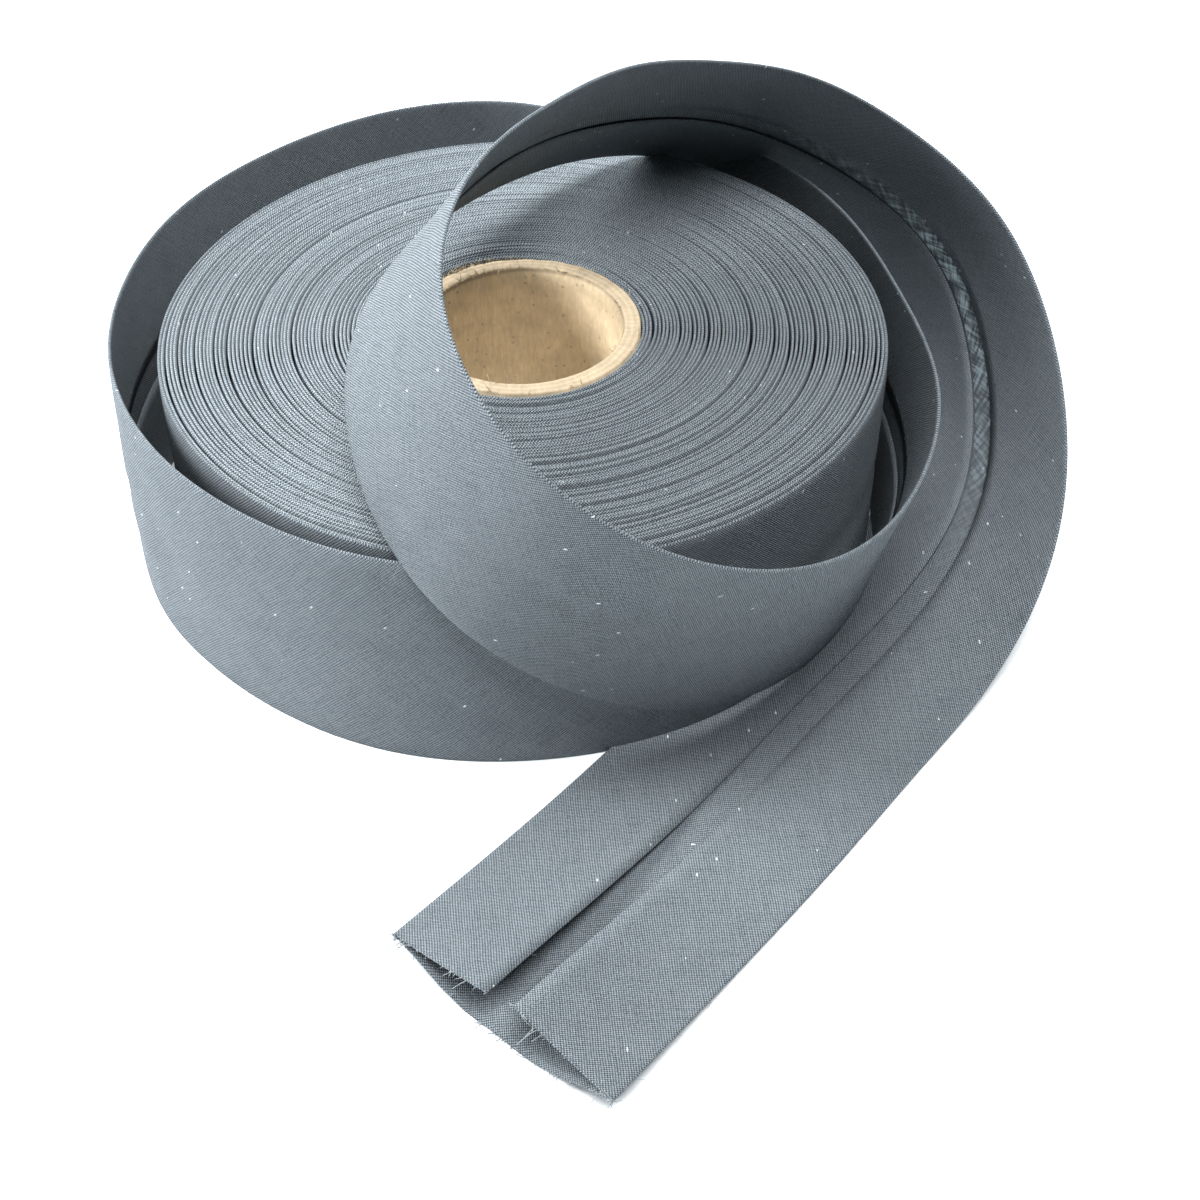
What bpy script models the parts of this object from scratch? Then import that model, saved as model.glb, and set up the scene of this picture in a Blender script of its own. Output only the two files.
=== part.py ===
"""A roll of folded bias binding on a cardboard core, with its loose end laid out in a loop.

The tape is a bias-cut strip of plain-weave cotton, both long edges folded to the inside so that
they almost meet.  It is wound on a tube and stands on its edge.  The last turn has come loose:
it stands round the roll once, leans out at the front, climbs over the roll in an arch and comes
down to the table on the right, where the end lies flat under the edge of the roll.
"""
import math

import bmesh
import bpy
import numpy as np
from mathutils import Vector

MM = 0.001

# ---- driving sizes, in millimetres ---------------------------------------------------------
TAPE_WIDTH = 40.0            # folded width, and so the height of the roll
ROLL_RADIUS = 59.0
CORE_RADIUS = 19.2           # outside of the tube
CORE_WALL = 2.8
AIR = 0.4                    # between the tube, the roll and the loose end
CORE_BEVEL = 0.5

LAYER = 1.0                  # one layer of cloth in the loose end
BETWEEN = 0.4                # air between the back layer and the folded flaps
FLAP_WIDTH = 17.6            # each folded flap, measured from the fold
CUT_LIFT_LEFT = 3.0          # how far the flaps stand up at the cut end
CUT_LIFT_RIGHT = 2.0
CUT_REACH = 42.0             # length over which the cut end settles into the flat tail
TAPE_STEP = 7.5              # length of one section of the loose end
FOLD_WALL = 1.1              # cloth across the fold, between the outside and the slot
FOLD_ACROSS, FOLD_DEEP = 0.5, 0.6    # the corner taken off each fold
PRESS_AT = 5.0               # the flaps are pressed hollow along a line this far from the fold
HOLLOW = 0.08                # how far they are pressed in
FULL_SIDE, FULL_MIDDLE = 0.09, 0.12  # how far the back layer is pressed out

ROLL_STEPS = 84              # facets round the roll
CORE_STEPS = 64
RIM_BEVEL = 0.7
LIP_IN, LIP_DOWN = 0.5, 0.15         # the last turn's upper edge
BORE_LIP_IN, BORE_LIP_DOWN = 0.4, (0.1, 0.6)    # the first turn's upper edge
FRONT_HEADING = -72.0        # the roll lies a little flat on this side
FRONT_FLAT, FRONT_SPREAD = 1.3, 34.0
GAP_DRIFT = 0.35             # how far the gaps between groups of turns wander in and out
UNDERCUT = 3.4               # the underside stands this high over the tape that runs below it
UNDERCUT_RAMP, UNDERCUT_MARGIN = 5.0, 1.5
UNDERSIDE_RINGS = [34.0, 39.5, 43.0, 46.5, 50.0, 54.0]

# The left edge of the flat tail, where it runs under the roll: a point and a heading.
TAIL_EDGE = (34.3, -32.4)
TAIL_HEADING = 51.0

# Flat face of the roll, from the rim in: radius and height over the nominal width.  Groups of
# turns stand a little proud of their neighbours, with open gaps between some of them.
FACE = [
    # radius, height
    (57.9, -0.10),
    (57.3, -0.55),
    (56.6, 0.10),
    (53.6, 0.25),
    (53.0, -0.50),
    (52.3, 0.05),
    (48.6, -0.15),
    (48.0, -0.60),
    (47.3, 0.10),
    (41.8, 0.30),
    (41.2, -0.55),
    (40.5, -0.05),
    (32.2, 0.15),
    (31.6, -0.60),
    (30.9, 0.10),
    (24.6, 0.20),
    (23.9, -0.45),
    (23.2, 0.00),
]

# Course of the loose end, from where it leaves the roll to the cut end.  x, y and z place the
# middle of its width, measured from the roll's axis at table level; lean is the tilt of its
# width from upright and toward the compass heading of that lean, in degrees.
COURSE = [
    # x, y, z, lean, toward
    (-15, -60, 20.3, 0, -60),
    (-34, -54, 20.3, 0, -60),
    (-54, -37, 20.3, 0, -60),
    (-67, -14, 20.3, 1, -60),
    (-68, 11, 20.3, 3, 150),
    (-62, 36, 20.3, 4, 150),
    (-47, 57, 20.3, 3, 130),
    (-27, 72, 20.3, 2, 100),
    (-1, 77, 20.3, 1, 60),
    (20, 63, 20.3, 1, 0),
    (44, 55, 20.3, 1, -20),
    (58, 32, 21, 1, -20),
    (63, 8, 23.5, 3, -15),
    (65, -18, 24.5, 10, -12),
    (54, -42, 23, 18, -17),
    (38, -60, 25, 27, -18),
    (17, -70, 36, 34, -28),
    (-4, -74, 55, 35, -40),
    (-17, -55, 69, 30, -44),
    (-17, -27, 71, 33, -28),
    (-6, -5, 71, 41, -23),
    (5, 17, 68, 44, -24),
    (20, 36, 62.5, 53, -36),
    (38, 50, 56, 51, -50),
    (60, 52, 43, 40, -70),
    (78, 36, 30, 34, -62),
    (81, 12, 17.5, 44, -49),
    (77, -12, 9, 66, -50),
    (62, -30, 0.6, 90, -48),
    (46, -49, 0.6, 90, -43),
    (31, -69, 0.6, 90, -41),
    (15, -88, 0.6, 90, -41),
    (-1, -109, 4.5, 90, -41),
]


def clear_scene():
    for item in list(bpy.data.objects):
        bpy.data.objects.remove(item, do_unlink=True)
    for mesh in list(bpy.data.meshes):
        bpy.data.meshes.remove(mesh)


def material(name, colour, roughness):
    made = bpy.data.materials.new(name)
    made.use_nodes = True
    shader = made.node_tree.nodes["Principled BSDF"]
    shader.inputs["Base Color"].default_value = (*colour, 1.0)
    shader.inputs["Roughness"].default_value = roughness
    made.diffuse_color = (*colour, 1.0)
    return made


def smoothstep(x):
    x = min(max(x, 0.0), 1.0)
    return x * x * (3.0 - 2.0 * x)


def add_body(name, rings, look, parent, capped, smooth_angle=32.0):
    """Join equal closed rings of points (mm) into one closed body, capped or closed on itself."""
    shape = bmesh.new()
    loops = [[shape.verts.new(Vector(p) * MM) for p in ring] for ring in rings]
    count = len(loops[0])
    pairs = list(zip(loops, loops[1:])) if capped else list(zip(loops, loops[1:] + loops[:1]))
    for near, far in pairs:
        for i in range(count):
            j = (i + 1) % count
            shape.faces.new((near[i], near[j], far[j], far[i]))
    if capped:
        shape.faces.new(loops[0][::-1])
        shape.faces.new(loops[-1])
    bmesh.ops.triangulate(shape, faces=shape.faces[:], ngon_method="EAR_CLIP")
    bmesh.ops.recalc_face_normals(shape, faces=shape.faces[:])
    if shape.calc_volume(signed=True) < 0:
        bmesh.ops.reverse_faces(shape, faces=shape.faces[:])
    for face in shape.faces:
        face.smooth = True
    mesh = bpy.data.meshes.new(name)
    shape.to_mesh(mesh)
    shape.free()
    mesh.set_sharp_from_angle(angle=math.radians(smooth_angle))
    mesh.materials.append(look)
    thing = bpy.data.objects.new(name, mesh)
    bpy.context.scene.collection.objects.link(thing)
    thing.parent = parent
    return thing


def turned_rings(profile, steps, place):
    """Rings of a profile of (radius, height) carried round the axis; place bends each point."""
    rings = []
    for k in range(steps):
        angle = 2.0 * math.pi * k / steps
        rings.append([place(radius, height, angle) for radius, height in profile])
    return rings


def build_core(parent, look):
    inner, outer, b = CORE_RADIUS - CORE_WALL, CORE_RADIUS, CORE_BEVEL
    top = TAPE_WIDTH
    profile = [
        (inner + b, 0.0), (outer - b, 0.0), (outer, b), (outer, top - b),
        (outer - b, top), (inner + b, top), (inner, top - b), (inner, b),
    ]

    def place(radius, height, angle):
        return radius * math.cos(angle), radius * math.sin(angle), height

    rings = turned_rings(profile, CORE_STEPS, place)
    return add_body("core", rings, look, parent, capped=False)


def undercut(x, y):
    """Height of the roll's underside over the table, above the tail that runs below it."""
    heading = math.radians(TAIL_HEADING)
    over = (x - TAIL_EDGE[0]) * math.sin(heading) - (y - TAIL_EDGE[1]) * math.cos(heading)
    return UNDERCUT * smoothstep((over + UNDERCUT_MARGIN + UNDERCUT_RAMP) / UNDERCUT_RAMP)


def build_roll(parent, look):
    inner, outer, top = CORE_RADIUS + AIR, ROLL_RADIUS, TAPE_WIDTH
    profile = [(radius, 0.0) for radius in [inner, *UNDERSIDE_RINGS, outer - RIM_BEVEL]]
    profile += [(outer, RIM_BEVEL), (outer, top - RIM_BEVEL), (outer - LIP_IN, top - LIP_DOWN)]
    profile += [(radius, top + height) for radius, height in FACE]
    near, far = BORE_LIP_DOWN
    profile += [(inner + BORE_LIP_IN, top - near), (inner, top - far)]

    def place(radius, height, angle):
        # The turns lie a little flat at the front, most of all at the rim.
        share = (radius - inner) / (outer - inner)
        turn = angle - math.radians(FRONT_HEADING)
        off = math.atan2(math.sin(turn), math.cos(turn))
        flat = FRONT_FLAT * share ** 1.5 * math.exp(-(off / math.radians(FRONT_SPREAD)) ** 2)
        # The loose gaps between groups of turns drift in and out as they go round.
        wave = math.sin(2 * angle + radius * 0.35)
        drift = GAP_DRIFT * wave * share * (1.0 - share) * 4.0
        radius = radius - flat + (drift if height > top / 2 else 0.0)
        x, y = radius * math.cos(angle), radius * math.sin(angle)
        lift = undercut(x, y) * max(0.0, 1.0 - height / (top / 2))
        return x, y, height + lift

    rings = turned_rings(profile, ROLL_STEPS, place)
    return add_body("wound_roll", rings, look, parent, capped=False, smooth_angle=50.0)


def spline(rows, at):
    """Uniform cubic B-spline that starts at the first row and ends at the last."""
    rows = np.array(rows, float)
    rows = np.vstack([2 * rows[0] - rows[1], rows, 2 * rows[-1] - rows[-2]])
    cell = np.minimum(np.floor(at).astype(int), len(rows) - 4)
    t = (at - cell)[:, None]
    return (
        (1 - t) ** 3 * rows[cell]
        + (3 * t ** 3 - 6 * t ** 2 + 4) * rows[cell + 1]
        + (-3 * t ** 3 + 3 * t ** 2 + 3 * t + 1) * rows[cell + 2]
        + t ** 3 * rows[cell + 3]
    ) / 6.0


def course_frames():
    """Even stations along the loose end: middle, width direction, inward direction, length."""
    fine = np.linspace(0, len(COURSE) - 1, 3000)
    path = spline(COURSE, fine)
    run = np.concatenate([[0], np.cumsum(np.linalg.norm(np.diff(path[:, :3], axis=0), axis=1))])
    count = int(round(run[-1] / TAPE_STEP)) + 1
    length = np.linspace(0, run[-1], count)
    at = np.interp(length, run, fine)
    rows = spline(COURSE, at)
    ahead = spline(COURSE, np.minimum(at + 0.02, len(COURSE) - 1))
    behind = spline(COURSE, np.maximum(at - 0.02, 0))
    along = ahead[:, :3] - behind[:, :3]
    along /= np.linalg.norm(along, axis=1)[:, None]
    lean, toward = np.radians(rows[:, 3]), np.radians(rows[:, 4])
    wide = np.stack([np.sin(lean) * np.cos(toward), np.sin(lean) * np.sin(toward),
                     np.cos(lean)], axis=1)
    inward = np.cross(along, wide)
    inward /= np.linalg.norm(inward, axis=1)[:, None]
    return rows[:, :3], wide, inward, length


def tape_section(left, right, bow):
    """Folded tape as (across, inward) points: a back layer and two flaps, hooked at the folds.

    left and right are how far each flap's free edge stands off; bow is how far the back layer
    hangs below the line between the folds, in two straight reaches to a flat middle.
    """
    half, base = TAPE_WIDTH / 2, LAYER / 2
    low, high = base + BETWEEN, base + BETWEEN + LAYER
    free = half - FLAP_WIDTH
    # Each flap is pressed a little hollow, and the back layer a little full.
    bend, press_l, press_r = half - PRESS_AT, 0.15 * left - HOLLOW, 0.15 * right - HOLLOW
    side, belly = 0.75 * bow - FULL_SIDE, bow - FULL_MIDDLE
    slot, corner = half - FOLD_WALL, half - FOLD_ACROSS
    upper, lower = high - FOLD_DEEP, -base + FOLD_DEEP
    return [
        (corner, -base), (half, lower), (half, upper), (corner, high),
        (bend, high + press_r), (free, high + right), (free, low + right),
        (bend, low + press_r), (slot, low), (slot, base),
        (half / 2, base - side), (0.0, base - belly), (-half / 2, base - side),
        (-slot, base), (-slot, low), (-bend, low + press_l),
        (-free, low + left), (-free, high + left), (-bend, high + press_l),
        (-corner, high), (-half, upper), (-half, lower), (-corner, -base),
        (-half / 2, -base - side), (0.0, -base - belly), (half / 2, -base - side),
    ]


def build_loose_end(parent, look):
    middle, wide, inward, length = course_frames()
    rings = []
    for m, u, n, s in zip(middle, wide, inward, length):
        rise = smoothstep(1.0 - (length[-1] - s) / CUT_REACH)
        # Near the cut the folds lift off the table and the back layer hangs down to it.
        bow = max(0.0, m[2] - LAYER / 2) if length[-1] - s < CUT_REACH else 0.0
        section = tape_section(CUT_LIFT_LEFT * rise, CUT_LIFT_RIGHT * rise, bow)
        rings.append([tuple(m + u * across + n * depth) for across, depth in section])
    return add_body("loose_end", rings, look, parent, capped=True, smooth_angle=40.0)


def centre_on_footprint(parent, things):
    corners = np.array([tuple(v.co) for thing in things for v in thing.data.vertices])
    low, high = corners.min(axis=0), corners.max(axis=0)
    parent.location = (-(low[0] + high[0]) / 2, -(low[1] + high[1]) / 2, -low[2])


def main():
    clear_scene()
    axis = bpy.data.objects.new("roll_axis", None)
    bpy.context.scene.collection.objects.link(axis)
    cloth = material("grey_cotton", (0.165, 0.185, 0.205), 0.92)
    board = material("kraft_board", (0.50, 0.38, 0.23), 0.85)
    things = [
        build_core(axis, board),
        build_roll(axis, cloth),
        build_loose_end(axis, cloth),
    ]
    centre_on_footprint(axis, things)
    bpy.context.view_layer.update()


main()
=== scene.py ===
"""Looks for a roll of folded bias binding on a cardboard tube, its loose end arched over it.

Laid out as an add-on: settings, one operator for each piece, one for the stage, and a panel.
Everything is in metres.  A pattern on cloth follows the UV map "Cloth": across the strip and
along it, in metres of flat cloth.
"""
import math

import bpy
import numpy as np
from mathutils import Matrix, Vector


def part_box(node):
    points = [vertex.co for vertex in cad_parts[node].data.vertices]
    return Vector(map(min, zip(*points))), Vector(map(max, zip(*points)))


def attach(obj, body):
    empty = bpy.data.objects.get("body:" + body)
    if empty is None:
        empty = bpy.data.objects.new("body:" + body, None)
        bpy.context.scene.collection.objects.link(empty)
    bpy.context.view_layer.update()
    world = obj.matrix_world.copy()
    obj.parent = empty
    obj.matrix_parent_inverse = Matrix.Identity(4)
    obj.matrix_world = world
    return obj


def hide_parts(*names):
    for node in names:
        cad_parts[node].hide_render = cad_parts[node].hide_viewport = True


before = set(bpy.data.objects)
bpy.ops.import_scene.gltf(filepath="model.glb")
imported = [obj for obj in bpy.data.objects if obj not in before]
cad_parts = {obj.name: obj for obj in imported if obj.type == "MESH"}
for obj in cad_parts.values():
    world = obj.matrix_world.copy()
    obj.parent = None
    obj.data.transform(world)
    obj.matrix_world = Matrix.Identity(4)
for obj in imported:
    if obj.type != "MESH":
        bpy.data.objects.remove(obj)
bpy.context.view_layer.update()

bl_info = {
    "name": "Roll of Bias Binding",
    "version": (1, 0, 0),
    "blender": (4, 5, 0),
    "location": "View3D > Sidebar > Binding",
    "description": "A roll of folded bias binding with its loose end arched over it",
    "category": "Add Mesh",
}

MM = 0.001
CORE_LOW, CORE_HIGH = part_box("core")
AXIS = np.array([(CORE_LOW.x + CORE_HIGH.x) / 2, (CORE_LOW.y + CORE_HIGH.y) / 2, 0.0])
CORE_RADIUS = (CORE_HIGH.x - CORE_LOW.x) / 2
SEAM_AT = math.radians(93.0) * CORE_RADIUS

# The winding.
LEAVES_AT = -84.0  # heading, in degrees, at which the last tight turn ends
PITCH = 0.64  # from one tight turn to the next at the outside, in mm
TURN_HEIGHT = 0.04  # of each turn, before it slips up or down
TIGHT_HEIGHT = 20.05  # middle of the tight turn's width above the table, in mm

# The tail under the roll: a point on its left edge, in mm from the roll's axis, its heading in
# degrees, and how far it lifts the undersides of the turns above it.
TAIL_EDGE_X, TAIL_EDGE_Y = 34.3, -32.4
TAIL_HEADING = 51.0
RIDE = 0.00085
RIDE_AT_TOP = 0.3  # share of that lift which reaches the upper folds

# The loose end.
STATION_STEP = 0.0012  # between two sections of the strip
LOOSE_FROM = 0.38  # length along the strip at which it comes off the roll
CUT_REACH = 0.046  # length before the cut in which the flaps lift
DENT_AT = 0.442  # length along the strip at the dip of the S-shaped dent
DENT_STEP, DENT_WIDTH = 0.013, 0.006  # from its dip to its rise, and half its width
PRESSED = 0.00019  # how far the flaps press the back layer out
FLAP_POINTS = 8  # points across each flap of the section
TABLE_GAP = 0.00003  # least height of the strip over the table

# The camera, from the roll's axis, and its tilt down in degrees.
CAMERA_X, CAMERA_Y, CAMERA_Z = 0.01253, -0.25352, 0.21494
CAMERA_TILT = 43.03

# Course of the strip from where it leaves the roll to its cut end.  x, y and z place the middle
# of its width, in mm from the roll's axis at table level; lean is the tilt of its width from
# upright and toward the compass heading of that lean, in degrees.
COURSE = [
    # x, y, z, lean, toward
    (-15, -60, 20.1, 0, -60),
    (-34, -53, 20.1, 0, -60),
    (-54, -37, 20.1, 1, 0),
    (-67, -14, 20.1, 2, 35),
    (-68, 11, 20.1, 2, 150),
    (-62, 36, 20.1, 4, 149),
    (-47, 56, 20.1, 4, 138),
    (-27, 72, 20.1, 2, 108),
    (-1, 76, 20.1, 1, 75),
    (20, 61, 20.1, 1, 20),
    (44, 56, 20.1, 1, -20),
    (57, 33, 20.3, 1, -25),
    (62, 8, 20.6, 2, -12),
    (64, -18, 21.0, 10, -12),
    (54, -41, 19.5, 18, -17),
    (38, -60, 24.7, 27, -17),
    (17, -70, 35.5, 34, -28),
    (-4, -72, 53, 35, -41),
    (-17, -54, 66.5, 29, -44),
    (-16, -27, 71, 33, -26),
    (-6, -5, 70.5, 41, -24),
    (5, 17, 66, 43, -24),
    (20, 35, 59.5, 48, -36),
    (38, 49, 51.5, 46, -50),
    (60, 49, 40.5, 39, -68),
    (78, 36, 29, 34, -65),
    (81, 12, 16.5, 42, -46),
    (77, -12, 8.5, 64, -51),
    (62, -30, 0.5, 90, -50),
    (46, -49, 0.5, 90, -43),
    (31, -69, 0.5, 90, -41),
    (15, -88, 0.5, 90, -41),
    (-1, -109, 4.2, 90, -41),
]

# Turns after which the winding was slack, so that a wider gap shows: turn and gap in hundredths
# of a mm.
SLACK = [
    # turn, gap
    (3, 26),
    (10, 22),
    (13, 16),
    (17, 24),
    (20, 14),
    (28, 30),
    (34, 22),
    (38, 16),
    (44, 30),
    (47, 18),
    (52, 22),
    (56, 14),
    (59, 20),
]


def length_prop(name, text, value):
    return bpy.props.FloatProperty(name=name, description=text, default=value, unit="LENGTH")


def colour_prop(name, text, value):
    return bpy.props.FloatVectorProperty(
        name=name, description=text, default=value, size=3, min=0, max=1, subtype="COLOR")


class BindingCloth(bpy.types.PropertyGroup):
    """Sizes and colours of the folded strip."""
    width: length_prop("Folded width", "Width of the strip once both edges are folded in", 0.040)
    flap: length_prop("Flap", "Width of each folded edge", 0.0176)
    layer: length_prop("Layer", "Thickness of one layer of cloth", 0.00026)
    air: length_prop("Air", "Space between the back layer and the flaps", 0.00004)
    threads_long: bpy.props.FloatProperty(
        name="Warp threads", description="Threads to the metre, one way", default=2660)
    threads_cross: bpy.props.FloatProperty(
        name="Weft threads", description="Threads to the metre, the other way", default=3410)
    colour: colour_prop("Cloth", "Colour of the yarn where light falls on it", (0.306, 0.336, 0.354))
    # shade is painted shade: the colour drawn in the dips between the threads, where shade falls.
    shade: colour_prop("Between threads", "Colour between the threads", (0.040, 0.054, 0.070))
    lint: colour_prop("Lint", "Colour of stray white fibres", (0.85, 0.90, 0.92))


class BindingRoll(bpy.types.PropertyGroup):
    """Sizes of the wound roll."""
    radius: length_prop("Radius", "Outside of the last turn that lies tight", 0.0594)
    turns: bpy.props.IntProperty(name="Turns", description="Turns on the tube", default=61, min=2)
    stations: bpy.props.IntProperty(
        name="Steps", description="Steps in one turn", default=150, min=24)
    thickness: length_prop("Thickness", "One folded turn, pressed", 0.00053)


class BindingCore(bpy.types.PropertyGroup):
    """Sizes and colours of the cardboard tube."""
    wall: length_prop("Wall", "Thickness of the tube", 0.0028)
    inside: colour_prop("Inside", "Colour of the kraft paper inside the tube", (0.80, 0.68, 0.50))
    rim: colour_prop("Rim", "Colour of the cut edge", (0.68, 0.57, 0.42))
    speck: colour_prop("Specks", "Colour of the dark specks", (0.13, 0.085, 0.05))


class BindingStage(bpy.types.PropertyGroup):
    """Table, lights and camera."""
    table: colour_prop("Table", "Colour of the table", (0.90, 0.92, 0.93))
    sky: colour_prop("Room light", "Colour of the light from all round", (0.82, 0.93, 1.0))
    sky_power: bpy.props.FloatProperty(
        name="Room", description="Strength of the light from all round", default=0.16)
    overhead_power: bpy.props.FloatProperty(
        name="Overhead", description="Power of the lamp overhead, in watts", default=27.0)
    key_power: bpy.props.FloatProperty(
        name="Key", description="Power of the lamp at the left, in watts", default=15.5)
    back_power: bpy.props.FloatProperty(
        name="Back", description="Power of the lamp behind the roll, in watts", default=8.0)
    lens: bpy.props.FloatProperty(name="Lens", description="Focal length, in mm", default=56.1)


# ---- shader expressions -----------------------------------------------------------------------
class Wire:
    """A value on its way through a material: arithmetic on it adds the Math nodes."""

    def __init__(self, look, socket):
        self.look, self.socket = look, socket

    def math(self, operation, *others):
        return self.look.node("ShaderNodeMath", {"operation": operation}, self, *others)

    def __add__(self, other):
        return self.math("ADD", other)

    def __sub__(self, other):
        return self.math("SUBTRACT", other)

    def __rsub__(self, other):
        return self.look.node("ShaderNodeMath", {"operation": "SUBTRACT"}, other, self)

    def __mul__(self, other):
        return self.math("MULTIPLY", other)

    def __abs__(self):
        return self.math("ABSOLUTE")

    __radd__, __rmul__ = __add__, __mul__

    def wave(self):
        """Sine of the value in half turns: zero at every whole number."""
        return (self * math.pi).math("SINE")

    def above(self, other):
        return self.math("GREATER_THAN", other)

    def ramp(self, low, high):
        """0 up to low, 1 from high on, smooth between them; high may be the lower one."""
        return self.look.node(
            "ShaderNodeMapRange", {"interpolation_type": "SMOOTHSTEP"}, self, low, high, 0.0, 1.0)


class Look:
    """A material under construction."""

    def __init__(self, name):
        self.material = bpy.data.materials.new(name)
        self.material.use_nodes = True
        self.tree = self.material.node_tree
        self.tree.nodes.clear()

    def node(self, kind, settings=(), *values, out=0, **named):
        """Adds a node, applies its settings, then fills or links its sockets; returns a Wire."""
        made = self.tree.nodes.new(kind)
        for key, value in dict(settings).items():
            setattr(made, key, value)
        sockets = list(enumerate(values)) + [(k.replace("_", " "), v) for k, v in named.items()]
        for key, value in sockets:
            if isinstance(value, Wire):
                self.tree.links.new(value.socket, made.inputs[key])
            elif value is not None:
                made.inputs[key].default_value = value
        return Wire(self, made.outputs[out]) if made.outputs else None

    def blend(self, amount, low, high):
        """Colour low where amount is 0 and high where it is 1."""
        made = self.tree.nodes.new("ShaderNodeMix")
        made.data_type = "RGBA"
        for socket, value in zip((made.inputs[0], made.inputs[6], made.inputs[7]),
                                 (amount, low, high)):
            if isinstance(value, Wire):
                self.tree.links.new(value.socket, socket)
            else:
                socket.default_value = value if isinstance(value, float) else (*value, 1.0)
        return Wire(self, made.outputs[2])

    def noise(self, vector, scale, detail=2.0, roughness=0.5):
        return self.node("ShaderNodeTexNoise", {}, Vector=vector, Scale=scale, Detail=detail,
                         Roughness=roughness)

    def cells(self, vector, scale):
        """Scattered cells: distance to the nearest cell's point, and that cell's three values."""
        kind = "ShaderNodeTexVoronoi"
        distance = self.node(kind, {"feature": "F1"}, Vector=vector, Scale=scale)
        colour = self.node(kind, {"feature": "F1"}, out="Color", Vector=vector, Scale=scale)
        return distance, self.parts(colour)

    def vector(self, x, y, z=0.0):
        return self.node("ShaderNodeCombineXYZ", {}, x, y, z)

    def parts(self, vector):
        return [self.node("ShaderNodeSeparateXYZ", {}, vector, out=k) for k in range(3)]

    def finish(self, shader):
        self.node("ShaderNodeOutputMaterial", {}, shader)
        return self.material


def cloth_look(name, cloth, see_through, lift=1.0):
    """Plain weave on the bias: two sets of threads at 45 degrees to the strip.

    Each thread is round across its width, and rises where it passes over the other set: with
    p and q the sines of the two thread counts, one set is (|p| + p q) / 2 high and the other
    (|q| - p q) / 2, and the cloth is the higher of them.
    """
    look = Look(name)
    uv = look.node("ShaderNodeUVMap", {"uv_map": "Cloth"})
    across, along, _ = look.parts(uv)
    diagonal = math.sqrt(0.5)
    # The threads wander a little.
    stray = (look.noise(uv, 160.0, 1.0) - 0.5) * 0.0005
    warp = (across + along + stray) * (diagonal * cloth.threads_long)
    weft = (across - along + stray) * (diagonal * cloth.threads_cross)
    p, q = warp.wave(), weft.wave()
    cross = p * q
    height = ((abs(p) + cross) * 0.5).math("MAXIMUM", (abs(q) - cross) * 0.5)

    # Uneven yarn: each thread has its own weight along a stretch of its length, and each
    # crossing its own tightness.
    slub = look.noise(look.vector(warp * 0.9, weft * 0.05), 1.0, 2.0) \
        + look.noise(look.vector(warp * 0.05, weft * 0.9), 1.0, 2.0)
    crossing = look.noise(look.vector(warp * 0.9, weft * 0.9), 1.0, 0.0)
    cloud = look.noise(uv, 110.0, 3.0, 0.6)
    # The higher the weave stands, the lighter it is drawn: painted shade in the dips between the
    # threads, times the uneven yarn.
    tone = (height * 1.55 - 0.32) * (slub * 0.75 + 0.25) * (crossing * 1.1 + 0.45) \
        * (cloud * 0.3 + 0.85)
    # lift makes a lighter copy of the yarn colour: painted light, used to brighten the wound roll.
    yarn = tuple(lift * part for part in cloth.colour)
    colour = look.blend(tone.math("MINIMUM", 1.7), cloth.shade, yarn)

    # Stray white fibres that lie along the threads, and now and then a dark speck.
    fibre = look.vector((across + along) * 420.0, (across - along) * 190.0)
    cell, pick = look.cells(fibre, 1.0)
    lint = (pick[2] * 0.12 - 0.02 - cell).above(0.0) * pick[0].above(0.60)
    colour = look.blend(lint * (crossing * 1.2), colour, cloth.lint)
    dark = (0.06 - cell).above(0.0) * pick[1].above(0.97)
    colour = look.blend(dark * 0.9, colour, tuple(0.3 * c for c in cloth.shade))

    relief = height + slub * 0.5
    bump = look.node("ShaderNodeBump", {}, Strength=1.0, Distance=0.00012, Height=relief)
    skin = look.node(
        "ShaderNodeBsdfPrincipled", {}, Base_Color=colour, Roughness=0.93, Normal=bump,
        Sheen_Weight=0.10, Sheen_Roughness=0.45, Sheen_Tint=(0.85, 0.93, 1.0, 1.0),
        Specular_IOR_Level=0.18)
    if not see_through:
        return look.finish(skin)
    # Between the flaps there is one layer only, and light comes through it, unevenly, mostly
    # where the arch comes down at the right.
    through = look.node("ShaderNodeBsdfTranslucent", {}, Color=(0.66, 0.73, 0.74, 1.0))
    lit = look.node("ShaderNodeAddShader", {}, skin, through)
    free = cloth.width / 2 - cloth.flap
    bare = abs(across).ramp(free, free - 0.0003) * (1.0 - height * 0.9)
    hatch = look.noise(look.vector(warp * 0.45, weft * 0.06), 1.0, 1.0) \
        + look.noise(look.vector(warp * 0.06, weft * 0.45), 1.0, 1.0)
    stretch = along.ramp(0.955, 1.015) * 1.3 + along.ramp(0.85, 0.90) * 0.08
    bare = bare * stretch * hatch.ramp(0.78, 1.30) * along.ramp(1.075, 1.04)
    return look.finish(look.node("ShaderNodeMixShader", {}, bare, skin, lit))


def yarn_look(name, cloth):
    """Loose yarn, the colour of the cloth."""
    look = Look(name)
    spot = look.node("ShaderNodeTexCoord", {}, out="Object")
    shade = look.noise(spot, 900.0, 1.0)
    colour = look.blend(shade, tuple(0.5 * c for c in cloth.colour),
                        tuple(1.4 * c for c in cloth.colour))
    return look.finish(look.node(
        "ShaderNodeBsdfPrincipled", {}, Base_Color=colour, Roughness=0.9,
        Specular_IOR_Level=0.18))


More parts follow.
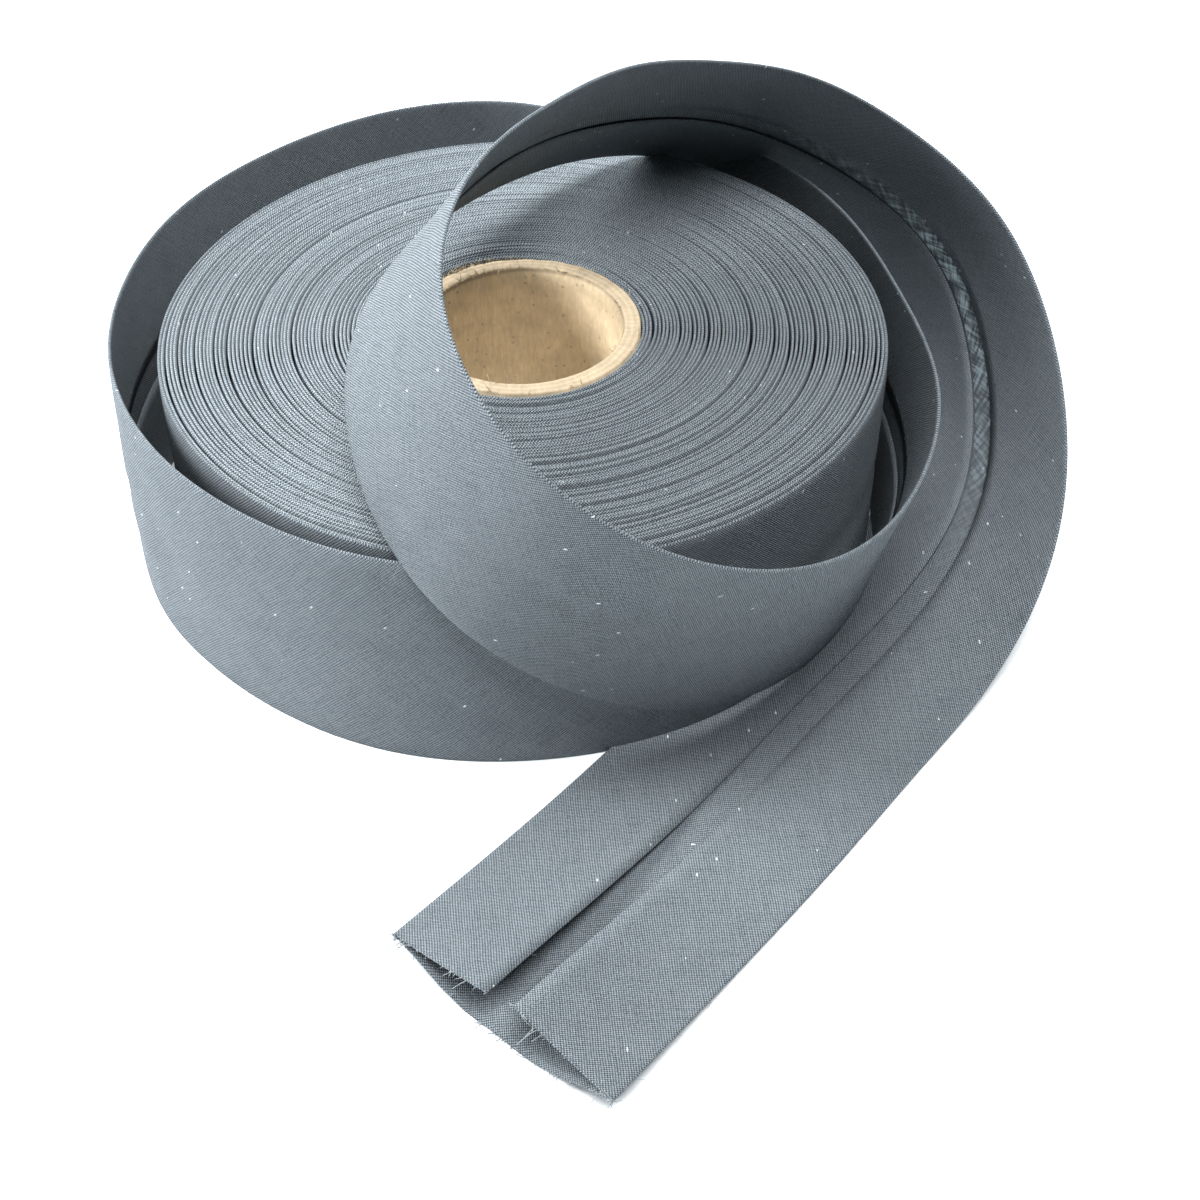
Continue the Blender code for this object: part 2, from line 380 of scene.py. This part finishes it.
def board_look(name, core, top):
    """Kraft paper: tan with fibres and specks, paler and layered on the cut rim."""
    look = Look(name)
    spot = look.node("ShaderNodeTexCoord", {}, out="Object")
    place = look.node("ShaderNodeMapping", {}, spot, tuple(-AXIS))
    x, y, z = look.parts(place)
    out = (x * x + y * y).math("SQRT")
    uv = look.node("ShaderNodeUVMap", {"uv_map": "Cloth"})
    around, up, _ = look.parts(uv)
    pulp = look.noise(place, 260.0, 4.0, 0.65)
    fibre = look.noise(look.vector(around * 1.0, up * 0.25), 1500.0, 3.0, 0.6)
    tone = (pulp * 0.8 + fibre * 0.5) - 0.15
    paper = look.blend(tone, tuple(0.62 * c for c in core.inside),
                       tuple(1.25 * c for c in core.inside))
    cell, pick = look.cells(place, 800.0)
    paper = look.blend((0.22 - cell).above(0.0) * pick[0].above(0.75) * 0.28, paper, core.speck)
    paper = look.blend((0.20 - cell).above(0.0) * pick[1].above(0.75) * 0.45, paper, core.rim)
    ply = (out * 1900.0 + pulp * 1.5).wave()
    edge = look.blend(ply * 0.14 + fibre * 0.9 + pulp * 0.9 - 0.4,
                      tuple(0.60 * c for c in core.rim), core.rim)
    cut = (z + (pulp - 0.5) * 0.0006).ramp(top - 0.0011, top - 0.0004)
    # Painted highlight: a pale streak on the seam where the inner ply is lapped, near the top at the
    # back.
    painted_seam_highlight = abs(around - SEAM_AT).ramp(0.0007, 0.0002) * z.ramp(top - 0.006, top - 0.002)
    paper = look.blend(painted_seam_highlight * 0.55, paper, core.rim)
    colour = look.blend(cut, paper, edge)
    bump = look.node("ShaderNodeBump", {}, Strength=0.7, Distance=0.00018,
                     Height=pulp + fibre * 0.6)
    return look.finish(look.node(
        "ShaderNodeBsdfPrincipled", {}, Base_Color=colour, Roughness=0.88, Normal=bump,
        Specular_IOR_Level=0.2))


def table_look(name, stage):
    """Plain white table top with the faintest unevenness."""
    look = Look(name)
    spot = look.node("ShaderNodeTexCoord", {}, out="Object")
    soft = look.noise(spot, 6.0, 2.0)
    colour = look.blend(soft, tuple(0.985 * c for c in stage.table), stage.table)
    return look.finish(look.node(
        "ShaderNodeBsdfPrincipled", {}, Base_Color=colour, Roughness=0.75,
        Specular_IOR_Level=0.2))


# ---- surfaces ---------------------------------------------------------------------------------
def add_piece(name, points, quads, coords, look):
    """A smooth mesh of quads: points in metres, and a place on the UV map for each corner."""
    mesh = bpy.data.meshes.new(name)
    mesh.vertices.add(points.size // 3)
    mesh.vertices.foreach_set("co", points.astype(np.float32).ravel())
    mesh.loops.add(quads.size)
    mesh.loops.foreach_set("vertex_index", quads.astype(np.int32).ravel())
    mesh.polygons.add(len(quads))
    mesh.polygons.foreach_set("loop_start", np.arange(0, quads.size, 4, dtype=np.int32))
    mesh.update(calc_edges=True)
    mesh.uv_layers.new(name="Cloth").data.foreach_set("uv", coords.astype(np.float32).ravel())
    mesh.polygons.foreach_set("use_smooth", np.ones(len(quads), dtype=bool))
    mesh.materials.append(look)
    mesh.update()
    piece = bpy.data.objects.new(name, mesh)
    bpy.context.scene.collection.objects.link(piece)
    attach(piece, "root")
    return piece


def add_skin(name, rings, across, along, look):
    """A closed skin over a grid of points, one row for each section of the piece.

    rings is (rows, columns, 3), each row a closed loop whose first half runs one way over the
    outside and second half back over the inside, so each end is closed by a strip of quads
    between the halves.  across is the flat place of each column, along that of each row.
    """
    rows, columns = rings.shape[:2]
    i, j = np.meshgrid(np.arange(rows - 1), np.arange(columns), indexing="ij")
    k = (j + 1) % columns
    quads = np.stack([i * columns + j, (i + 1) * columns + j, (i + 1) * columns + k,
                      i * columns + k], axis=-1).reshape(-1, 4)
    # The seam is where the inside meets the outside, and both have the same flat place there.
    flat = np.stack([np.broadcast_to(across[j], j.shape), along[i]], axis=-1)
    flat_k = np.stack([across[k], along[i]], axis=-1)
    coords = np.stack([flat, np.stack([across[j], along[i + 1]], -1),
                       np.stack([across[k], along[i + 1]], -1), flat_k], axis=2).reshape(-1, 2)
    a = np.arange(columns // 2 - 1)
    b = columns - 1 - a
    for start, turn in ((0, 1), ((rows - 1) * columns, -1)):
        cap = start + np.stack([a, a + 1, b - 1, b], axis=-1)[:, ::turn]
        quads = np.vstack([quads, cap])
        place = np.stack([across[cap % columns], np.full(cap.shape, along[start // columns])], -1)
        coords = np.vstack([coords, place.reshape(-1, 2)])
    return add_piece(name, rings, quads, coords, look)


def unit(vectors):
    return vectors / np.linalg.norm(vectors, axis=-1, keepdims=True)


def smooth(x):
    """0 below 0, 1 above 1, and an even slope between."""
    x = np.clip(x, 0.0, 1.0)
    return x * x * (3.0 - 2.0 * x)


def spline(rows, at):
    """Uniform cubic B-spline that starts at the first row and ends at the last."""
    rows = np.vstack([2 * rows[0] - rows[1], rows, 2 * rows[-1] - rows[-2]])
    cell = np.minimum(np.floor(at).astype(int), len(rows) - 4)
    t = (at - cell)[:, None]
    return (
        (1 - t) ** 3 * rows[cell]
        + (3 * t ** 3 - 6 * t ** 2 + 4) * rows[cell + 1]
        + (-3 * t ** 3 + 3 * t ** 2 + 3 * t + 1) * rows[cell + 2]
        + t ** 3 * rows[cell + 3]
    ) / 6.0


def strip_frames(roll):
    """Stations along the strip: middle, across, inward, length.

    The first turn lies on the roll: its spline rows stand on a circle, 20 degrees apart, which
    is widened because a B-spline cuts inside its rows.  Then come the rows of COURSE.
    """
    back = np.arange(19, -1, -1)
    turn = np.radians(LEAVES_AT + 20.0 * back)
    wide = 3.0 / (2.0 + math.cos(math.radians(20.0)))
    radius = wide * (roll.radius / MM - roll.thickness / MM / 2 - PITCH * back / 18)
    flat = np.ones(len(back))
    tight = np.stack([radius * np.cos(turn), radius * np.sin(turn), TIGHT_HEIGHT * flat,
                      0 * flat, -60.0 * flat], axis=1)
    rows = np.vstack([tight, np.array(COURSE, float)])
    lean, toward = np.radians(rows[:, 3]), np.radians(rows[:, 4])
    rows = np.column_stack([rows[:, :3] * MM, np.sin(lean) * np.cos(toward),
                            np.sin(lean) * np.sin(toward), np.cos(lean)])
    fine = np.linspace(1, len(rows) - 1, 6000)
    path = spline(rows, fine)[:, :3]
    run = np.concatenate([[0], np.cumsum(np.linalg.norm(np.diff(path, axis=0), axis=1))])
    length = np.linspace(0, run[-1], int(run[-1] / STATION_STEP) + 1)
    at = np.interp(length, run, fine)
    here = spline(rows, at)
    middle = here[:, :3] + AXIS
    along = unit(spline(rows, np.minimum(at + 0.01, len(rows) - 1))[:, :3]
                 - spline(rows, np.maximum(at - 0.01, 0))[:, :3])
    across = unit(here[:, 3:])
    inward = unit(np.cross(along, across))
    return middle, across, inward, length


def folded_section(cloth):
    """Middle line of the folded cloth: across, inward and flat place.

    It runs from the upper flap's free edge round the fold, over the back and round the lower
    fold to the other free edge.
    """
    half = cloth.width / 2
    step = cloth.layer + cloth.air
    bend = step / 2
    free = half - cloth.flap
    flap = np.array([0.0, 0.12, 0.3, 0.5, 0.7, 0.88, 0.97, 1.0])
    turn = np.radians([60.0, 90.0, 120.0])
    back = np.array([1.0, 0.93, 0.8, 0.55, 0.3, 0.155, 0.09, 0.0])
    across = np.concatenate([free + (half - bend - free) * flap,
                             half - bend + bend * np.sin(turn), (half - bend) * back])
    inward = np.concatenate([np.full(FLAP_POINTS, step), bend + bend * np.cos(turn),
                             np.zeros(len(back))])
    across = np.concatenate([across, -across[-2::-1]])
    inward = np.concatenate([inward, inward[-2::-1]])
    hop = np.hypot(np.diff(across), np.diff(inward))
    flat = np.concatenate([[0], np.cumsum(hop)])
    flat = flat[len(flat) // 2] - flat
    return across, inward, flat


def cloth_strip(name, cloth, roll, look):
    """The loose end: the folded section carried along the course, as a closed thin skin.

    A point is middle + across * wide + lie * inward, and the skin is half a layer to each side
    of it.  The flaps press a shallow step through the back layer and ripple, and the strip is
    dented at the far left.  Near the cut end the flaps lift and the back layer hangs from the
    folds to the table in a curve.

    Returns the piece, its length, the middle line of its cut end, the way ahead there, and the
    points of both folds with the ways out from them.
    """
    middle, wide, inward, length = strip_frames(roll)
    across, depth, flat = folded_section(cloth)
    half, free = cloth.width / 2, cloth.width / 2 - cloth.flap
    count = len(across)
    is_flap = (np.arange(count) < FLAP_POINTS) | (np.arange(count) >= count - FLAP_POINTS)
    left = across > 0

    end = smooth(1.0 - (length[-1] - length) / CUT_REACH)[:, None]
    lie = np.repeat(depth[None, :], len(length), axis=0)
    # The back layer is pressed out a little where a flap lies behind it.
    lie -= (PRESSED * smooth((np.abs(across) - free + 0.0008) / 0.0012)
            * smooth((half - np.abs(across)) / 0.003))[None, :] * ~is_flap
    # The gap between the flaps opens and the flaps stand off.
    reach = np.clip((half - np.abs(across)) / cloth.flap, 0.0, 1.0)
    lift = np.where(left, 0.0034, 0.0020)
    lie += end * (reach ** 1.2 * lift)[None, :] * is_flap
    # The back layer hangs between the folds down to the table.
    sag = np.clip(middle[:, 2] - cloth.layer / 2 - 0.0001, 0.0, None)[:, None] * (end > 0)
    lie -= sag * (smooth((half - np.abs(across)) / 0.0145) * ~is_flap)[None, :]

    # Loose flaps ripple a little along their free edges.
    wave = (np.sin(length * 61.0) + 0.6 * np.sin(length * 143.0 + 1.0))[:, None]
    loose = smooth((length - 0.40) / 0.3)[:, None]
    lie += loose * (0.00014 * (1.3 + wave)) * (reach ** 2)[None, :] * is_flap

    # A soft S-shaped dent where the loop turns at the far left.
    bow = length[:, None] - DENT_AT - 0.5 * across[None, :]
    dent = np.exp(-(bow / DENT_WIDTH) ** 2) \
        - 0.8 * np.exp(-((bow - DENT_STEP) / DENT_WIDTH) ** 2)
    lie = lie + 0.0007 * dent * np.exp(-((across[None, :] + 0.003) / 0.011) ** 2)

    line = middle[:, None, :] + wide[:, None, :] * across[None, :, None] \
        + inward[:, None, :] * lie[:, :, None]
    side = np.gradient(line, axis=1)
    ahead = np.gradient(line, axis=0)
    normal = unit(np.cross(side, ahead)) * (cloth.layer / 2)
    rings = np.concatenate([line + normal, (line - normal)[:, ::-1]], axis=1)
    rings[:, :, 2] = np.maximum(rings[:, :, 2], TABLE_GAP)
    piece = add_skin(name, rings, np.concatenate([flat, flat[::-1]]), length, look)
    # Where the loose threads and fibres grow: both folds, off the roll only, and the cut end.
    loose_part = length > LOOSE_FROM
    top, low = np.argmax(across), np.argmin(across)
    folds = np.concatenate([line[loose_part][:, top], line[loose_part][:, low]])
    outward = np.concatenate([wide[loose_part], -wide[loose_part]])
    ahead = unit(ahead[-1].mean(axis=0))
    return piece, length[-1], line[-1], ahead, folds, outward


def wound_turns(name, cloth, roll, look):
    """The wound roll: one folded strip carried round and round, wider gaps where it was slack.

    Radius grows from the tube by the thickness and the gap of each turn, and the last turn is
    one PITCH wide.  The section is a tall, narrow loop with a rounded fold at the top and at
    the bottom.
    """
    draw = np.random.default_rng(7)
    turns = roll.turns
    gap = draw.exponential(0.035, turns) * MM
    for turn, width in SLACK:
        gap[turn] += width * 0.01 * MM
    start = CORE_RADIUS + 0.0004 + roll.thickness / 2
    pitch = PITCH * MM
    stop = roll.radius - roll.thickness / 2 - pitch
    gap *= (stop - start - roll.thickness * (turns - 1)) / gap[:-1].sum()
    edge = start + np.concatenate([[0], np.cumsum(roll.thickness + gap[:-1])])
    edge = np.append(edge, edge[-1] + pitch)

    t = np.arange(int(0.21 * roll.stations), turns * roll.stations + 1) / roll.stations
    radius = np.interp(t, np.arange(turns + 1), edge)
    radius -= edge[-1] - stop
    angle = math.radians(LEAVES_AT) + 2 * math.pi * (turns - t)
    # Where the first turns stand off the tube.
    off = np.cos(angle - math.radians(138.0)) * 0.5 + 0.5
    radius += 0.0011 * off ** 6 * np.exp(-(radius - start) / 0.003)
    # The roll is a little flat at the front.
    flat = np.cos(angle + math.radians(70.0)) * 0.5 + 0.5
    radius -= 0.0006 * flat ** 8 * (radius / roll.radius) ** 2
    # There each turn is pressed thinner, so more dark shows between the turns.
    press = 1.05 - 0.30 * flat ** 3

    # The turns stand unevenly: groups that slipped together, single turns, and slow waves.
    level = np.cumsum(draw.normal(0, 0.13, turns + 1))
    level -= np.interp(np.arange(turns + 1), [0, turns], [level[0], level[-1]])
    level = np.clip(level, -0.5, 0.5) + draw.normal(0, 0.14, turns + 1)
    phase = draw.uniform(0, 2 * math.pi, turns + 1)
    swell = np.interp(t, np.arange(turns + 1), np.cumsum(draw.normal(0, 0.5, turns + 1)))
    front = np.interp(t, np.arange(turns + 1), draw.normal(0, 0.20, turns + 1))
    top = (np.interp(t, np.arange(turns + 1), level) + front * flat ** 2) * MM
    top += 0.00010 * np.sin(angle * 2 + swell) + 0.00005 * np.sin(
        angle * 5 + np.interp(t, np.arange(turns + 1), phase))

    h = roll.thickness / 2
    out = np.array([-1.0, -0.84, -0.34, 0.34, 0.84, 1.0, 0.9, 0.45, -0.45, -0.9]) * h
    drop = np.array([-1.3, -0.2, 0.0, 0.0, -0.2, -1.3, 0, 0, 0, 0]) * MM
    upper = drop + TURN_HEIGHT
    lower = np.array([0, 0, 0, 0, 0, 0, 0.9, 0.05, 0.05, 0.9]) * MM
    is_top = np.arange(10) < 6
    x, y = np.cos(angle), np.sin(angle)
    spread = radius[:, None] + out[None, :] * press[:, None]
    # The strip that lies under the roll lifts the turns above it.
    heading = math.radians(TAIL_HEADING)
    inside = ((x * radius / MM - TAIL_EDGE_X) * math.sin(heading)
              - (y * radius / MM - TAIL_EDGE_Y) * math.cos(heading))
    ride = RIDE * smooth(inside / 3.0 + 0.5)
    z = np.where(is_top[None, :], upper[None, :] + top[:, None] + RIDE_AT_TOP * ride[:, None],
                 lower[None, :] + ride[:, None])
    rings = np.stack([spread * x[:, None] + AXIS[0], spread * y[:, None] + AXIS[1], z], axis=-1)
    run = np.concatenate([[0], np.cumsum(radius[1:] * 2 * math.pi / roll.stations)])
    half = cloth.width / 2
    place = np.array([half + 0.0012, half + 0.0003, half + 0.0001, half - 0.0001, half - 0.0003,
                      half - 0.0012, -half + 0.0012, -half, -half - 0.0004, -half - 0.0012])
    return add_skin(name, rings, place, run, look)


def board_tube(name, core, look):
    """The cardboard tube: a turned wall whose cut rims are uneven and a little furred.

    Radius and height follow the profile; both are pushed about by sums of waves round the rim.
    """
    r1, r0 = CORE_RADIUS, CORE_RADIUS - core.wall
    low, high = CORE_LOW.z, CORE_HIGH.z
    soft = 0.00025
    outer = [(r1, low + soft), (r1, low + 0.3 * (high - low)), (r1, high - 0.003),
             (r1, high - soft)]
    rim = [(r1 - soft, high), (r1 - 0.3 * core.wall, high + 0.00005),
           (r1 - 0.5 * core.wall, high), (r1 - 0.7 * core.wall, high + 0.00005),
           (r0 + soft, high)]
    inner = [(r0, high - soft), (r0, high - 0.003), (r0, low + 0.3 * (high - low)),
             (r0, low + soft)]
    base = [(r0 + soft, low), (r1 - soft, low)]
    profile = np.array(outer + rim + inner + base)
    steps = 360
    angle = np.arange(steps + 1) / steps * 2 * math.pi
    draw = np.random.default_rng(11)
    rough = np.zeros((len(profile), steps + 1))
    for waves in (3, 7, 13, 24, 41, 67, 90):
        rough += draw.normal(0, 1, (len(profile), 1)) * np.sin(
            waves * angle + draw.uniform(0, 6.28, (len(profile), 1))) / waves ** 0.45
    on_rim = np.exp(-(high - profile[:, 1]) / 0.0015)[:, None]
    height = profile[:, 1:2] + 0.00011 * rough * on_rim
    radius = profile[:, 0:1] + 0.00005 * rough * (0.3 + on_rim) * np.where(
        profile[:, 0:1] > r1 - soft / 2, -0.5, 1.0)
    # The tube is not quite round inside.
    radius = radius + 0.00012 * np.sin(2 * angle + 0.7)[None, :] * (profile[:, 0:1] < r1 - soft)
    rings = np.stack([radius * np.cos(angle) + AXIS[0], radius * np.sin(angle) + AXIS[1],
                      np.broadcast_to(height, radius.shape)], axis=-1)
    rings = np.swapaxes(rings[:, :-1], 0, 1)
    return add_ring(name, rings, profile, CORE_RADIUS, look)


def add_ring(name, rings, profile, radius, look):
    """A closed ring: rows go round it and come back to the first, columns follow the profile."""
    rows, columns = rings.shape[:2]
    i, j = np.meshgrid(np.arange(rows), np.arange(columns), indexing="ij")
    n, k = (i + 1) % rows, (j + 1) % columns
    quads = np.stack([i * columns + j, n * columns + j, n * columns + k, i * columns + k],
                     axis=-1).reshape(-1, 4)
    hop = np.linalg.norm(np.roll(profile, -1, axis=0) - profile, axis=1)
    up = np.concatenate([[0], np.cumsum(hop)])
    around = np.arange(rows + 1) / rows * 2 * math.pi * radius
    coords = np.stack([
        np.stack([around[i], up[j]], -1), np.stack([around[i + 1], up[j]], -1),
        np.stack([around[i + 1], up[j + 1]], -1), np.stack([around[i], up[j + 1]], -1)],
        axis=2).reshape(-1, 2)
    return add_piece(name, rings, quads, coords, look)


def add_threads(name, roots, ways, lengths, radius, draw, look):
    """Short loose threads: each leaves its root along its way, bends at random and thins out.

    Thread k follows root + way s + bend s^2 with s from 0 to its length, as a closed tube of
    four sides.
    """
    count, steps = len(roots), 5
    s = np.linspace(0, 1, steps)[None, :, None]
    bend = draw.normal(0, 0.55, (count, 1, 3))
    path = roots[:, None, :] + lengths[:, None, None] * (ways[:, None, :] * s + bend * s * s)
    path[:, :, 2] = np.maximum(path[:, :, 2], 2 * radius)
    ahead = unit(np.gradient(path, axis=1))
    side = unit(np.cross(ahead, np.array([0.31, 0.17, 0.93])))
    over = np.cross(ahead, side)
    thick = radius * (1.0 - 0.4 * s)
    points = np.stack([path + thick * side, path + thick * over, path - thick * side,
                       path - thick * over], axis=2)
    i, j = np.meshgrid(np.arange(steps - 1), np.arange(4), indexing="ij")
    k = (j + 1) % 4
    tube = np.stack([i * 4 + j, i * 4 + k, (i + 1) * 4 + k, (i + 1) * 4 + j], axis=-1)
    top = 4 * steps
    one = np.vstack([tube.reshape(-1, 4), [[3, 2, 1, 0]], [[top - 4, top - 3, top - 2, top - 1]]])
    quads = (one[None] + (np.arange(count) * top)[:, None, None]).reshape(-1, 4)
    coords = np.zeros((quads.size, 2))
    return add_piece(name, points, quads, coords, look)


def cut_threads(name, edge, ahead, look):
    """Threads that stand out of the cut end, along both ways of the weave."""
    draw = np.random.default_rng(5)
    count = 150
    at = draw.uniform(0, len(edge) - 1, count)
    low = np.floor(at).astype(int)
    part = (at - low)[:, None]
    roots = edge[low] * (1 - part) + edge[low + 1] * part - 0.0002 * ahead
    side = unit(edge[low + 1] - edge[low])
    way = draw.choice([-1.0, 1.0], (count, 1)) * draw.uniform(0.5, 1.1, (count, 1))
    ways = unit(ahead + side * way)
    lengths = 0.0003 + draw.exponential(0.00045, count)
    return add_threads(name, roots, ways, np.minimum(lengths, 0.0024), 0.00009, draw, look)


def rim_fibres(name, core, look):
    """Torn paper fibres on both edges of the tube's upper rim, most of them at the back left."""
    draw = np.random.default_rng(3)
    count = 420
    angle = np.radians(np.where(np.arange(count) % 3 > 0, draw.normal(128.0, 16.0, count),
                                draw.uniform(0.0, 360.0, count)))
    inner = draw.uniform(0, 1, count) < 0.5
    radius = CORE_RADIUS - np.where(inner, core.wall - 0.0001, 0.0002)
    out = np.stack([np.cos(angle), np.sin(angle), 0 * angle], axis=1)
    roots = out * radius[:, None] + AXIS + np.array([0, 0, CORE_HIGH.z - 0.0002])
    lean = np.where(inner, -0.7, 0.4)[:, None]
    ways = unit(np.array([0, 0, 0.8]) + lean * out + draw.normal(0, 0.5, (count, 3)))
    lengths = 0.0002 + draw.exponential(0.0003, count)
    return add_threads(name, roots, ways, np.minimum(lengths, 0.0014), 0.00007, draw, look)


def edge_fibres(name, folds, outward, look):
    """Fine fibres along the folds of the strip, which blur its outline a little."""
    draw = np.random.default_rng(9)
    count = 700
    pick = draw.integers(0, len(folds), count)
    ways = unit(outward[pick] + draw.normal(0, 0.6, (count, 3)))
    lengths = 0.0002 + draw.exponential(0.00022, count)
    return add_threads(name, folds[pick] - 0.0001 * outward[pick], ways, lengths, 0.00003, draw,
                       look)


# ---- operators --------------------------------------------------------------------------------
class BINDING_OT_core(bpy.types.Operator):
    """Make the cardboard tube and the torn fibres on its rim"""
    bl_idname = "binding.core"
    bl_label = "Cardboard tube"

    def execute(self, context):
        core = context.scene.binding_core
        piece = board_tube("tube_board", core, board_look("kraft_paper", core, CORE_HIGH.z))
        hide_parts("core")
        torn = rim_fibres("rim_fibres", core, board_look("torn_board", core, CORE_LOW.z))
        return {"FINISHED"}


class BINDING_OT_roll(bpy.types.Operator):
    """Make the wound turns of folded cloth"""
    bl_idname = "binding.roll"
    bl_label = "Wound turns"

    def execute(self, context):
        scene = context.scene
        # Painted light: the wound turns wear the cloth 1.45 times lighter, so the roll's top reads
        # brighter.
        look = cloth_look("bias_cloth_wound", scene.binding_cloth, see_through=False, lift=1.45)
        piece = wound_turns("wound_cloth", scene.binding_cloth, scene.binding_roll, look)
        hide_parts("wound_roll")
        return {"FINISHED"}


class BINDING_OT_strip(bpy.types.Operator):
    """Make the loose end of the folded strip, its cut threads and its edge fibres"""
    bl_idname = "binding.strip"
    bl_label = "Loose end"

    def execute(self, context):
        scene = context.scene
        look = cloth_look("bias_cloth_loose", scene.binding_cloth, see_through=True)
        piece, length, edge, ahead, folds, outward = cloth_strip(
            "loose_cloth", scene.binding_cloth, scene.binding_roll, look)
        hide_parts("loose_end")
        yarn = yarn_look("loose_yarn", scene.binding_cloth)
        ends = cut_threads("cut_threads", edge, ahead, yarn)
        fuzz = edge_fibres("edge_fibres", folds, outward, yarn)
        return {"FINISHED"}


class BINDING_OT_stage(bpy.types.Operator):
    """Make the table, the lights and the camera"""
    bl_idname = "binding.stage"
    bl_label = "Table, lights and camera"

    def execute(self, context):
        stage = context.scene.binding_stage
        mesh = bpy.data.meshes.new("table_top")
        size = 3.0
        mesh.from_pydata([(-size, -size, 0), (size, -size, 0), (size, size, 0), (-size, size, 0)],
                         [], [(0, 1, 2, 3)])
        mesh.materials.append(table_look("white_table", stage))
        table = bpy.data.objects.new("table_top", mesh)
        context.scene.collection.objects.link(table)

        world = bpy.data.worlds.new("room")
        world.use_nodes = True
        back = world.node_tree.nodes["Background"]
        back.inputs["Color"].default_value = (*stage.sky, 1.0)
        back.inputs["Strength"].default_value = stage.sky_power
        context.scene.world = world
        context.scene.view_settings.view_transform = "Standard"
        context.scene.view_settings.gamma = 0.82

        lamps = [
            # name, power, size, place
            ("overhead", stage.overhead_power, 0.9, (0.16, -0.26, 1.22)),
            ("key", stage.key_power, 0.45, (-0.84, 0.10, 0.48)),
            ("back", stage.back_power, 0.8, (-0.30, 0.90, 0.60)),
        ]
        for name, power, width, place in lamps:
            light = bpy.data.lights.new(name, "AREA")
            light.energy, light.size, light.shape = power, width, "DISK"
            lamp = bpy.data.objects.new(name, light)
            lamp.location = place
            aim(lamp, (0.0, 0.0, 0.02))
            context.scene.collection.objects.link(lamp)

        view = bpy.data.cameras.new("camera")
        view.lens, view.sensor_width = stage.lens, 36.0
        view.clip_start, view.clip_end = 0.01, 20.0
        camera = bpy.data.objects.new("camera", view)
        camera.location = (AXIS[0] + CAMERA_X, AXIS[1] + CAMERA_Y, CAMERA_Z)
        camera.rotation_euler = (math.radians(90.0 - CAMERA_TILT), 0.0, 0.0)
        context.scene.collection.objects.link(camera)
        context.scene.camera = camera
        return {"FINISHED"}


def aim(thing, target):
    """Turns a lamp so that it faces the target."""
    way = np.array(target) - np.array(thing.location)
    flat = math.hypot(way[0], way[1])
    turn = math.atan2(way[1], way[0]) - math.pi / 2
    thing.rotation_euler = (math.atan2(flat, -way[2]), 0.0, turn)


class BINDING_PT_panel(bpy.types.Panel):
    """Sizes, colours and pieces of the roll of binding"""
    bl_idname = "BINDING_PT_panel"
    bl_label = "Roll of Bias Binding"
    bl_space_type = "VIEW_3D"
    bl_region_type = "UI"
    bl_category = "Binding"

    def draw(self, context):
        for key, _, operators in GROUPS:
            box = self.layout.box()
            group = getattr(context.scene, key)
            for name in group.__annotations__:
                box.prop(group, name)
            for operator in operators:
                box.operator(operator.bl_idname)


GROUPS = [
    # scene property, settings, operators in the order they run
    ("binding_stage", BindingStage, [BINDING_OT_stage]),
    ("binding_core", BindingCore, [BINDING_OT_core]),
    ("binding_roll", BindingRoll, [BINDING_OT_roll]),
    ("binding_cloth", BindingCloth, [BINDING_OT_strip]),
]


def register():
    for key, group, operators in GROUPS:
        bpy.utils.register_class(group)
        setattr(bpy.types.Scene, key, bpy.props.PointerProperty(type=group))
        for operator in operators:
            bpy.utils.register_class(operator)
    bpy.utils.register_class(BINDING_PT_panel)


def unregister():
    bpy.utils.unregister_class(BINDING_PT_panel)
    for key, group, operators in reversed(GROUPS):
        for operator in reversed(operators):
            bpy.utils.unregister_class(operator)
        delattr(bpy.types.Scene, key)
        bpy.utils.unregister_class(group)


def main():
    register()
    bpy.ops.binding.stage()
    bpy.ops.binding.core()
    bpy.ops.binding.roll()
    bpy.ops.binding.strip()


if __name__ == "__main__":
    main()
